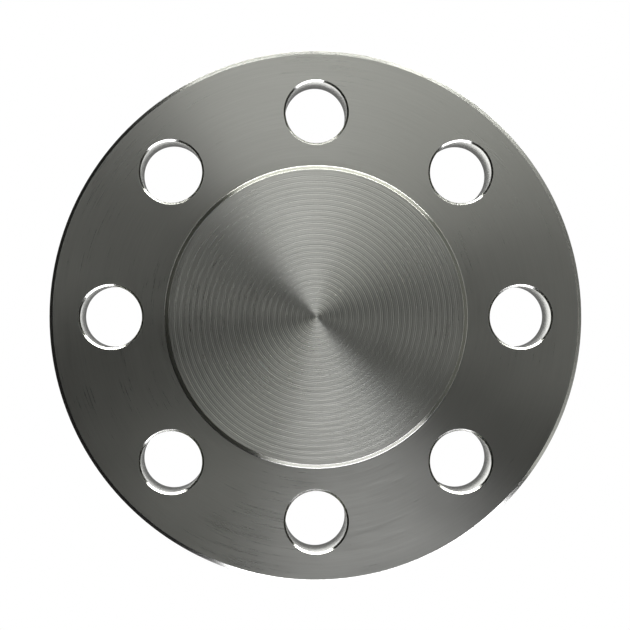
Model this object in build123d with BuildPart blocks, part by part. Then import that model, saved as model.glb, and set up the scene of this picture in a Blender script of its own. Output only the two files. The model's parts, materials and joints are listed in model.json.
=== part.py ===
from build123d import *
import os

# Raised-face blind flange, NPS 2 Class 300 (ASME B16.5).
#
# A blind flange is one forged disc, turned on both sides and drilled. It closes the end
# of a pipe or a nozzle, with a gasket squeezed between its raised face and the facing
# flange. It has no bore and no hub, and nothing on it is loose or moves.
#
# Frame: the origin is the centre of the back face, and +Z is the disc's axis, out of the
# raised face. One bolt hole is centred on +Y. All lengths are in millimetres.

# Disc
flange_diameter = 165.1
flange_thickness = 20.7
rim_chamfer_width = 1.1
rim_chamfer_depth = 0.65

# Raised face: the round sealing pad on the front, with a sloping flank
raised_face_diameter = 91.5
raised_face_height = 1.6
flank_width = 1.15
flank_top_radius = 0.2
flank_root_radius = 0.4

# Bolt holes: straight through the disc, outside the raised face
bolt_circle_diameter = 127.0
bolt_hole_diameter = 19.05
bolt_hole_count = 8
bolt_hole_chamfer = 0.6
first_hole_angle = 90

# Sizes that follow from the ones above
flange_radius = flange_diameter / 2
rim_chamfer_radius = flange_radius - rim_chamfer_width
raised_face_radius = raised_face_diameter / 2
flank_foot_radius = raised_face_radius + flank_width
overall_thickness = flange_thickness + raised_face_height
bolt_circle_radius = bolt_circle_diameter / 2
bolt_hole_radius = bolt_hole_diameter / 2

os.makedirs("parts", exist_ok=True)


def circles_of_radius(part, radius):
    """The circular edges of one radius, on either face of the part."""
    circles = part.edges().filter_by(GeomType.CIRCLE)
    return circles.filter_by(lambda circle: abs(circle.radius - radius) < 0.01)


with BuildPart() as blind_flange:
    # The turned disc is half of its section, revolved about the axis, with both rim
    # corners chamfered. The raised face is plane here: its fine serrations are a surface
    # finish.
    with BuildSketch(Plane.XZ):
        with BuildLine():
            Polyline(
                (0, 0),
                (rim_chamfer_radius, 0),
                (flange_radius, rim_chamfer_depth),
                (flange_radius, flange_thickness - rim_chamfer_depth),
                (rim_chamfer_radius, flange_thickness),
                (flank_foot_radius, flange_thickness),
                (raised_face_radius, overall_thickness),
                (0, overall_thickness),
                close=True,
            )
        make_face()
    revolve(axis=Axis.Z)

    # The flank runs into its two faces on small radii left by the turning tool's nose.
    fillet(circles_of_radius(blind_flange, raised_face_radius), radius=flank_top_radius)
    fillet(circles_of_radius(blind_flange, flank_foot_radius), radius=flank_root_radius)

    # The bolt holes are drilled through and deburred on both faces.
    with BuildSketch(Plane.XY.offset(flange_thickness)):
        with PolarLocations(bolt_circle_radius, bolt_hole_count, start_angle=first_hole_angle):
            Circle(bolt_hole_radius)
    extrude(amount=-flange_thickness, mode=Mode.SUBTRACT)
    chamfer(circles_of_radius(blind_flange, bolt_hole_radius), length=bolt_hole_chamfer)

blind_flange.part.label = "blind_flange"
export_step(blind_flange.part, "parts/blind_flange.step")
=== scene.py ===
import json
import math

import bmesh
import bpy
from mathutils import Matrix, Vector


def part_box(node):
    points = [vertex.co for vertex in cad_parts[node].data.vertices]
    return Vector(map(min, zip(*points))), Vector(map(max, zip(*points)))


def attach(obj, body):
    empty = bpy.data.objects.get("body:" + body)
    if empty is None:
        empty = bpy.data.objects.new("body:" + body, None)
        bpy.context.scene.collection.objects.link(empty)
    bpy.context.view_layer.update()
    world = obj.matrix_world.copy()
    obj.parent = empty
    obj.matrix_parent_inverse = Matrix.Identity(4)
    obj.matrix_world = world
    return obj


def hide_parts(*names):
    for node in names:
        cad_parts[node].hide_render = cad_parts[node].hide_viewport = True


# A raised-face blind flange: one machined stainless-steel disc, rebuilt as a fine mesh
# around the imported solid. Lengths are metres; MM turns millimetres into metres.
MM = 0.001

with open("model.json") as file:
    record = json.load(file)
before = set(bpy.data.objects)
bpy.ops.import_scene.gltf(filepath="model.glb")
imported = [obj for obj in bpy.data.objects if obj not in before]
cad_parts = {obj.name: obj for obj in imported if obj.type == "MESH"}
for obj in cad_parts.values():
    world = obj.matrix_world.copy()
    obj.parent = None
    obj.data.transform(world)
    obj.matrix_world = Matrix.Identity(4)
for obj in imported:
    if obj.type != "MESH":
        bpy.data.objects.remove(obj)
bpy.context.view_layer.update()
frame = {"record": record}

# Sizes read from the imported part
flange_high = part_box("blind_flange")[1]
bolt_holes = next(m for m in frame["record"]["mounts"] if m["name"] == "bolt_holes")
flange_radius = flange_high.x
face_top = flange_high.z
bolt_circle_radius = bolt_holes["dims"]["pcd_mm"] / 2 * MM
bolt_hole_radius = bolt_holes["dims"]["hole_r_mm"] * MM
bolt_hole_count = bolt_holes["dims"]["count"]

# Sizes that the part's source sets and the record doesn't hold
raised_face_radius = 45.75 * MM
raised_face_height = 1.6 * MM
flank_width = 1.15 * MM
flank_top_radius = 0.2 * MM
flank_root_radius = 0.4 * MM
rim_chamfer_width = 1.1 * MM
rim_chamfer_depth = 0.65 * MM
bolt_hole_chamfer = 0.6 * MM
corner_radius = 0.1 * MM
front = face_top - raised_face_height

# The serrated finish: round-nosed tool grooves, 45 to the inch, with invented bands of depth
groove_pitch = 25.4 / 45 * MM
tool_nose_radius = 1.5 * MM
band_period = 1.8 * MM
band_strength = 0.6
steps_per_groove = 4

# Mesh density
segments = 192
sector_segments = segments // bolt_hole_count
spoke_segments = 16
hole_segments = 2 * sector_segments + 2 * spoke_segments
corner_steps = 4
flank_steps = 6
back_ring_radii = [46 * MM, 24 * MM, 8 * MM, 1 * MM]
sharp_angle = math.radians(12.5)

# Floor: how far below the flange, how wide, and the light that the steel sees in it
floor_radius = 4
floor_depth = 0.5 * MM
floor_strength = 1.0
reflected_strength = 0.8
# A painted shadow: how brightly the dim disc under the flange glows
shade_strength = 0.16
# Painted pools of light under the bolt holes: how strongly they glow, and their share of a hole's radius
light_pool_strength = 1.3
light_pool_share = 0.8

# Steel: its slight warm tint, and how much its streaks vary the brightness
steel_tint = (1, 1.01, 0.92)
streak_contrast = 0.06

# Material slots of the mesh, in order
SERRATED, TURNED, CHAMFERED, BORED, RIM = range(5)


# ---------------------------------------------------------------- outlines

def rounded_corner(before, corner, after, radius, steps):
    """Points of the arc that rounds one corner of an outline of (radius, height) points."""
    toward_before = (before - corner).normalized()
    toward_after = (after - corner).normalized()
    half_angle = toward_before.angle(toward_after) / 2
    setback = radius / math.tan(half_angle)
    centre = corner + (toward_before + toward_after).normalized() * radius / math.sin(half_angle)
    first = corner + toward_before * setback - centre
    last = corner + toward_after * setback - centre
    return [centre + radius * first.slerp(last, i / steps) for i in range(steps + 1)]


def serrated_outline():
    """Outline of the raised face: arcs left by the tool's nose, one every groove_pitch. Their
    depth swells and fades along the radius, from 0.4 to 1.6 times the plain depth. That is
    added for looks, to make visible rings, and isn't a known feature of the finish."""
    groove_count = int((raised_face_radius - flank_top_radius) / groove_pitch)
    arc_centre = math.sqrt(tool_nose_radius ** 2 - (groove_pitch / 2) ** 2)
    points = []
    for step in range(groove_count * steps_per_groove + 1):
        radius = step * groove_pitch / steps_per_groove
        along = step % steps_per_groove / steps_per_groove - 0.5
        depth = math.sqrt(tool_nose_radius ** 2 - (along * groove_pitch) ** 2) - arc_centre
        depth *= 1 + band_strength * math.sin(2 * math.pi * radius / band_period)
        points.append(Vector((radius, face_top - depth)))
    return points


def flank_outline():
    """Outline of the raised face's edge, from its top to the foot of its sloping flank."""
    top = Vector((raised_face_radius, face_top))
    foot = Vector((raised_face_radius + flank_width, front))
    inward = Vector((0, face_top))
    outward = Vector((flange_radius, front))
    return (
        rounded_corner(inward, top, foot, flank_top_radius, flank_steps)
        + rounded_corner(top, foot, outward, flank_root_radius, flank_steps)
    )


def edge_outline(wall_radius, width, depth):
    """Outline across a wall with a chamfer at each end, from the front face to the back face.
    The chamfers' width is negative for a hole, whose metal is outside its wall."""
    face_radius = wall_radius - width
    far = Vector((face_radius - 8 * width, front))
    front_corner = Vector((face_radius, front))
    wall_top = Vector((wall_radius, front - depth))
    wall_foot = Vector((wall_radius, depth))
    back_corner = Vector((face_radius, 0))
    far_back = Vector((face_radius - 8 * width, 0))
    corners = [far, front_corner, wall_top, wall_foot, back_corner, far_back]
    points = []
    for before, corner, after in zip(corners, corners[1:], corners[2:]):
        points += rounded_corner(before, corner, after, corner_radius, corner_steps)
    return points


# ---------------------------------------------------------------- mesh

def make_ring(bm, point, count, centre=Vector((0, 0)), start=0.0):
    """A circle of vertices at one (radius, height) point of an outline."""
    ring = []
    for i in range(count):
        angle = start + 2 * math.pi * i / count
        x = centre.x + point.x * math.cos(angle)
        y = centre.y + point.x * math.sin(angle)
        ring.append(bm.verts.new((x, y, point.y)))
    return ring


def join_rings(bm, rings, material):
    """Closed bands of four-sided faces between each ring and the next."""
    for inner, outer in zip(rings, rings[1:]):
        for i in range(len(inner)):
            after = (i + 1) % len(inner)
            face = bm.faces.new((inner[i], outer[i], outer[after], inner[after]))
            face.material_index = material


def join_edge(bm, rings, wall_material):
    """The bands of an edge_outline: chamfer, wall and chamfer, with their rounded corners."""
    wall_start = 2 * corner_steps + 1
    wall_end = wall_start + 1
    join_rings(bm, rings[:wall_start + 1], CHAMFERED)
    join_rings(bm, rings[wall_start:wall_end + 1], wall_material)
    join_rings(bm, rings[wall_end:], CHAMFERED)


def close_centre(bm, ring, height, material):
    """A fan of triangles that closes the innermost ring."""
    pole = bm.verts.new((0, 0, height))
    for i in range(len(ring)):
        face = bm.faces.new((pole, ring[i], ring[(i + 1) % len(ring)]))
        face.material_index = material


def drilled_face(bm, inner, outer, hole_rims, height):
    """The flat ring between two circles, open at each bolt hole. Each hole's sector of the
    ring is bounded by two spokes and two arcs, and its faces run from there to the rim."""
    spokes = []
    for k in range(bolt_hole_count):
        near = inner[k * sector_segments].co
        far = outer[k * sector_segments].co
        between = [near.lerp(far, i / spoke_segments) for i in range(1, spoke_segments)]
        spokes.append([bm.verts.new((p.x, p.y, height)) for p in between])
    for k, rim in enumerate(hole_rims):
        first = k * sector_segments
        indices = [(first + i) % segments for i in range(sector_segments + 1)]
        outer_arc = [outer[i] for i in indices]
        inner_arc = [inner[i] for i in indices]
        border = (
            outer_arc
            + spokes[(k + 1) % bolt_hole_count][::-1]
            + inner_arc[::-1]
            + spokes[k]
        )
        middle = sector_segments // 2
        border = border[middle:] + border[:middle]
        for i in range(hole_segments):
            after = (i + 1) % hole_segments
            face = bm.faces.new((rim[i], border[i], border[after], rim[after]))
            face.material_index = TURNED


def build_flange():
    """The whole flange as one closed mesh."""
    bm = bmesh.new()
    half_sector = math.pi / bolt_hole_count
    start = math.pi / 2 - half_sector

    def ring(point):
        return make_ring(bm, point, segments, start=start)

    serrated = [ring(point) for point in serrated_outline()[1:]]
    flank = [ring(point) for point in flank_outline()]
    rim_outline = edge_outline(flange_radius, rim_chamfer_width, rim_chamfer_depth)
    edge = [ring(point) for point in rim_outline]
    back = [ring(Vector((radius, 0))) for radius in back_ring_radii]
    close_centre(bm, serrated[0], face_top, SERRATED)
    join_rings(bm, serrated + flank[:1], SERRATED)
    join_rings(bm, flank, CHAMFERED)
    join_edge(bm, edge, RIM)
    join_rings(bm, back, TURNED)
    close_centre(bm, back[-1], 0, TURNED)

    front_rims, back_rims = [], []
    hole_outline = edge_outline(bolt_hole_radius, -bolt_hole_chamfer, bolt_hole_chamfer)
    for k in range(bolt_hole_count):
        angle = math.pi / 2 + 2 * math.pi * k / bolt_hole_count
        centre = bolt_circle_radius * Vector((math.cos(angle), math.sin(angle)))
        wall = [make_ring(bm, point, hole_segments, centre, angle) for point in hole_outline]
        join_edge(bm, wall, BORED)
        front_rims.append(wall[0])
        back_rims.append(wall[-1])
    drilled_face(bm, flank[-1], edge[0], front_rims, front)
    drilled_face(bm, back[0], edge[-1], back_rims, 0)

    bmesh.ops.recalc_face_normals(bm, faces=bm.faces)
    mesh = bpy.data.meshes.new("flange")
    bm.to_mesh(mesh)
    bm.free()
    mesh.shade_smooth()
    mesh.set_sharp_from_angle(angle=sharp_angle)
    flange = bpy.data.objects.new("machined_flange", mesh)
    bpy.context.scene.collection.objects.link(flange)
    weighted = flange.modifiers.new("weighted_normals", "WEIGHTED_NORMAL")
    weighted.keep_sharp = True
    return flange


# ---------------------------------------------------------------- materials

class Nodes:
    """Adds nodes to one tree; a node's inputs are values or other nodes' outputs."""

    def __init__(self, tree):
        self.tree = tree
        tree.nodes.clear()

    def add(self, kind, inputs=None, **settings):
        node = self.tree.nodes.new(kind)
        for name, value in settings.items():
            setattr(node, name, value)
        for name, value in (inputs or {}).items():
            socket = node.inputs[name]
            if isinstance(value, bpy.types.NodeSocket):
                self.tree.links.new(value, socket)
            else:
                socket.default_value = value
        return node

    def math(self, operation, *values):
        return self.add("ShaderNodeMath", dict(enumerate(values)), operation=operation).outputs[0]

    def vector(self, operation, *values):
        node = self.add("ShaderNodeVectorMath", dict(enumerate(values)), operation=operation)
        return node.outputs["Value" if operation == "LENGTH" else "Vector"]

    def noise(self, vector, scale, detail=2.0, roughness=0.5):
        inputs = {"Vector": vector, "Scale": scale, "Detail": detail, "Roughness": roughness}
        return self.add("ShaderNodeTexNoise", inputs).outputs["Fac"]

    def remap(self, value, low, high, to_low, to_high):
        inputs = {"Value": value, "From Min": low, "From Max": high, "To Min": to_low, "To Max": to_high}
        return self.add("ShaderNodeMapRange", inputs).outputs["Result"]


def machined_steel(name, tone, on_wall, roughness, anisotropy, feed, feed_depth, streakiness=1.0):
    """Stainless steel with turning marks: circles on a face, or level lines round an upright wall.
    feed and feed_depth are millimetres, and streakiness scales the marks' unevenness."""
    material = bpy.data.materials.new(name)
    material.use_nodes = True
    nodes = Nodes(material.node_tree)
    place = nodes.add("ShaderNodeTexCoord").outputs["Object"]
    place_mm = nodes.vector("MULTIPLY", place, (1000, 1000, 1000))
    flat = nodes.vector("MULTIPLY", place_mm, (1, 1, 0))
    outward = nodes.vector("NORMALIZE", flat)
    if on_wall:
        tangent = (0, 0, 1)
        across = nodes.add("ShaderNodeSeparateXYZ", {"Vector": place_mm}).outputs["Z"]
    else:
        tangent = outward
        across = nodes.vector("LENGTH", flat)
    along = nodes.vector("MULTIPLY", outward, (1.2, 1.2, 0))
    streak_place = nodes.vector(
        "ADD", along, nodes.add("ShaderNodeCombineXYZ", {"Z": across}).outputs["Vector"]
    )
    streaks = nodes.noise(streak_place, 3.0, detail=4.0, roughness=0.7)
    smudges = nodes.noise(place_mm, 0.03, detail=3.0)
    feed_marks = nodes.math("SINE", nodes.math("MULTIPLY", across, 2 * math.pi / feed))
    height = nodes.math(
        "ADD",
        nodes.math("MULTIPLY", feed_marks, feed_depth),
        nodes.math("MULTIPLY", streaks, 2 * feed_depth * streakiness),
    )
    bump = nodes.add("ShaderNodeBump", {"Height": height, "Strength": 1.0, "Distance": MM})
    gloss = nodes.math(
        "ADD",
        nodes.remap(streaks, 0.3, 0.7, roughness - 0.03, roughness + 0.03),
        nodes.remap(smudges, 0.3, 0.7, -0.02, 0.02),
    )
    spread = streak_contrast * streakiness
    brightness = nodes.remap(streaks, 0.25, 0.75, (1 - spread) * tone, (1 + spread) * tone)
    colour = nodes.vector("MULTIPLY", steel_tint, nodes.add(
        "ShaderNodeCombineXYZ", {"X": brightness, "Y": brightness, "Z": brightness}
    ).outputs["Vector"])
    shader = nodes.add("ShaderNodeBsdfPrincipled", {
        "Metallic": 1.0,
        "Roughness": gloss,
        "Anisotropic": anisotropy,
        "Tangent": tangent,
        "Normal": bump.outputs["Normal"],
    })
    nodes.tree.links.new(colour, shader.inputs["Base Color"])
    nodes.add("ShaderNodeOutputMaterial", {"Surface": shader.outputs["BSDF"]})
    return material


# ---------------------------------------------------------------- studio

def glowing(name, strength):
    """A material that glows evenly, and is clear when seen from below."""
    material = bpy.data.materials.new(name)
    material.use_nodes = True
    nodes = Nodes(material.node_tree)
    glow = nodes.add("ShaderNodeEmission", {"Color": (1, 1, 1, 1), "Strength": strength})
    clear = nodes.add("ShaderNodeBsdfTransparent")
    underside = nodes.add("ShaderNodeNewGeometry").outputs["Backfacing"]
    either = nodes.add("ShaderNodeMixShader", {0: underside, 1: glow.outputs[0], 2: clear.outputs[0]})
    nodes.add("ShaderNodeOutputMaterial", {"Surface": either.outputs[0]})
    return material


def floor_piece(name, depth, discs, strength):
    """Level discs below the flange, each (x, y, radius), that glow and cast no shadow."""
    bm = bmesh.new()
    for x, y, radius in discs:
        place = Matrix.Translation((x, y, -depth))
        bmesh.ops.create_circle(bm, cap_ends=True, segments=64, radius=radius, matrix=place)
    mesh = bpy.data.meshes.new(name)
    bm.to_mesh(mesh)
    bm.free()
    mesh.materials.append(glowing(name, strength))
    piece = bpy.data.objects.new(name, mesh)
    bpy.context.scene.collection.objects.link(piece)
    piece.visible_diffuse = False
    piece.visible_shadow = False
    return piece


def pale_floor():
    """A plain white floor without shadows. The steel reflects a dimmer copy of it, with a painted
    shadow under the flange and painted pools of light below the middle of each bolt hole."""
    # Glowing discs below each bolt hole: painted pools of light that the hole walls reflect, standing in
    # for light falling through the holes
    light_pools = []
    for k in range(bolt_hole_count):
        angle = math.pi / 2 + 2 * math.pi * k / bolt_hole_count
        x = bolt_circle_radius * math.cos(angle)
        y = bolt_circle_radius * math.sin(angle)
        light_pools.append((x, y, light_pool_share * bolt_hole_radius))
    floor = floor_piece("floor", floor_depth, [(0, 0, floor_radius)], floor_strength)
    floor.visible_glossy = False
    reflections = [
        floor_piece("reflected_floor", 0.4 * MM, [(0, 0, floor_radius)], reflected_strength),
        # A dim disc under the flange: a painted shadow that the steel reflects
        floor_piece("reflected_shade", 0.3 * MM, [(0, 0, flange_radius)], shade_strength),
        floor_piece("reflected_light_pools", 0.2 * MM, light_pools, light_pool_strength),
    ]
    for piece in reflections:
        piece.visible_camera = False


def softbox(name, height_angle, compass, width, height, power, colour=(1, 1, 1)):
    """A rectangular studio light 1 m away, aimed at the flange. height_angle is its angle
    above the floor, and compass is its angle round the flange from +X to +Y."""
    light = bpy.data.lights.new(name, "AREA")
    light.color = colour
    light.shape = "RECTANGLE"
    light.size = width
    light.size_y = height
    light.energy = power
    lamp = bpy.data.objects.new(name, light)
    up = math.radians(height_angle)
    around = math.radians(compass)
    flat = math.cos(up)
    place = Vector((flat * math.cos(around), flat * math.sin(around), math.sin(up)))
    lamp.location = place
    lamp.rotation_mode = "QUATERNION"
    lamp.rotation_quaternion = (-place).to_track_quat("-Z", "Y")
    lamp.visible_camera = False
    bpy.context.scene.collection.objects.link(lamp)


def studio():
    """A nearly dark room with soft lights, strongest low above and below the flange as seen by
    the camera. Their strengths were chosen for the look and aren't those of a real studio."""
    world = bpy.data.worlds.new("studio")
    bpy.context.scene.world = world
    world.use_nodes = True
    nodes = Nodes(world.node_tree)
    sky = nodes.add("ShaderNodeBackground", {"Color": (1, 1, 1, 1), "Strength": 0.015})
    nodes.add("ShaderNodeOutputWorld", {"Surface": sky.outputs[0]})
    pale_floor()
    cool_white = (1, 0.99, 1.08)
    softbox("upper_strip", 8, 82, 1.7, 0.3, 19)
    softbox("upper_softbox", 34, 86, 1.1, 0.35, 2.9)
    softbox("overhead_softbox", 72, 80, 0.6, 0.35, 0.7)
    softbox("left_softbox", 55, 160, 0.4, 0.3, 0.3)
    softbox("right_softbox", 58, 10, 0.6, 0.4, 0.42)
    softbox("right_strip", 28, 8, 1.7, 0.25, 0.95)
    softbox("lower_strip", 8, 287, 1.1, 0.3, 7, cool_white)
    softbox("lower_softbox", 28, 284, 1.15, 0.25, 4.4, cool_white)
    softbox("low_overhead_softbox", 55, 285, 0.5, 0.3, 0.4, cool_white)


def camera():
    """Face-on, about 0.6 m in front of the flange and a little to its left."""
    lens = bpy.data.cameras.new("camera")
    lens.lens = 110.65
    lens.sensor_width = 36
    eye = bpy.data.objects.new("camera", lens)
    place = Vector((-0.0148, 0.0003, front + 0.6))
    target = Vector((-0.0004, 0.0006, front))
    back = (place - target).normalized()
    right = Vector((0, 1, 0)).cross(back).normalized()
    up = back.cross(right)
    eye.matrix_world = Matrix.Translation(place) @ Matrix((right, up, back)).transposed().to_4x4()
    bpy.context.scene.collection.objects.link(eye)
    bpy.context.scene.camera = eye


# ---------------------------------------------------------------- scene

camera()
studio()

flange = build_flange()
steels = [
    machined_steel("serrated_steel", 0.60, False, 0.30, 0.92, 0.11, 0.0001, 0.3),
    machined_steel("turned_steel", 0.49, False, 0.30, 0.9, 0.15, 0.0003),
    machined_steel("chamfered_steel", 0.60, False, 0.16, 0.0, 0.15, 0.0002),
    machined_steel("bored_steel", 0.60, True, 0.16, 0.4, 0.2, 0.0003),
    machined_steel("rim_steel", 0.49, True, 0.30, 0.7, 0.15, 0.0003, 0.6),
]
for steel in steels:
    flange.data.materials.append(steel)
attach(flange, "root")
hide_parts("blind_flange")

view = bpy.context.scene.view_settings
view.view_transform = "Standard"
view.look = "None"
